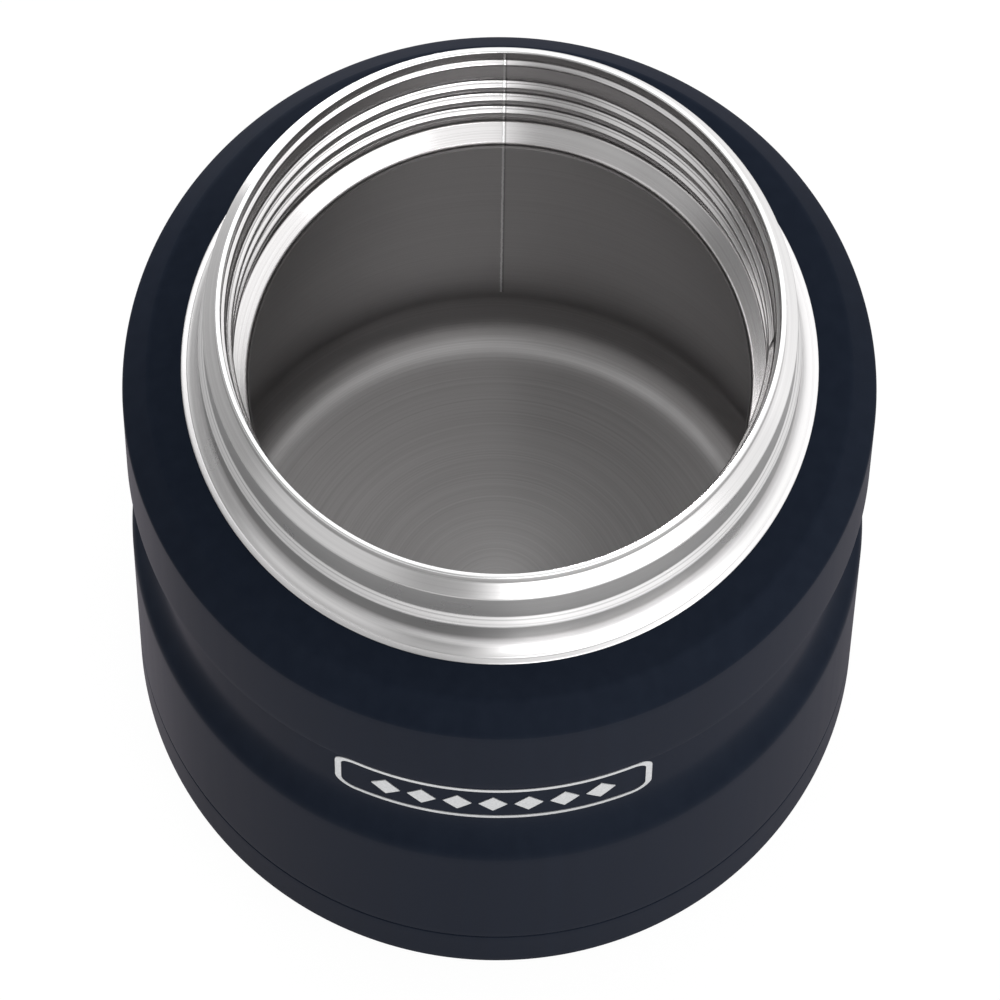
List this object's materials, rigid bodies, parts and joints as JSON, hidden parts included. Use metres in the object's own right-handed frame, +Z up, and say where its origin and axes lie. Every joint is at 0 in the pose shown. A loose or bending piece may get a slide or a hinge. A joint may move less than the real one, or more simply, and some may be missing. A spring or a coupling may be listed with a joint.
{
  "type": "insulated food jar",
  "caption": "Wide-mouth double-walled vacuum food jar without its lid: painted outer shells with a sunk waist, bare steel neck, threaded bore and rounded steel food chamber.",
  "frame": {"origin": "middle of the foot ring, on the table that the jar stands on", "axes": "+Z up the axis of the jar and out of its mouth, -Y towards the printed front of the waist"},
  "size_m": [0.1082, 0.1082, 0.1284],
  "materials": {
    "navy_paint": "satin powder coat",
    "charcoal_paint": "satin powder coat",
    "neck_steel": "brushed, bright",
    "liner_steel": "brushed and electropolished",
    "weld_steel": "polished bead",
    "bottom_steel": "mill finish",
    "clip_steel": "mill finish",
    "foil": "bright rolled foil",
    "getter_grey": "matt pressed powder",
    "sealing_glass": "opaque fired glass",
    "bond_rubber": "cured adhesive",
    "silver_ink": "screen print"
  },
  "bodies": {
    "root": {"shoulder_shell": "navy_paint", "body_shell": "charcoal_paint", "neck_collar": "neck_steel", "mouth_weld": "weld_steel", "inner_vessel": "liner_steel", "inner_bottom": "liner_steel", "outer_bottom": "bottom_steel", "evacuation_plug": "sealing_glass", "shield_sleeve": "foil", "shield_disc": "foil", "getter_pill": "getter_grey", "getter_clip": "clip_steel", "base_cap": "charcoal_paint", "base_bond_ring": "bond_rubber", "front_print": "silver_ink"}
  },
  "joints": []
}
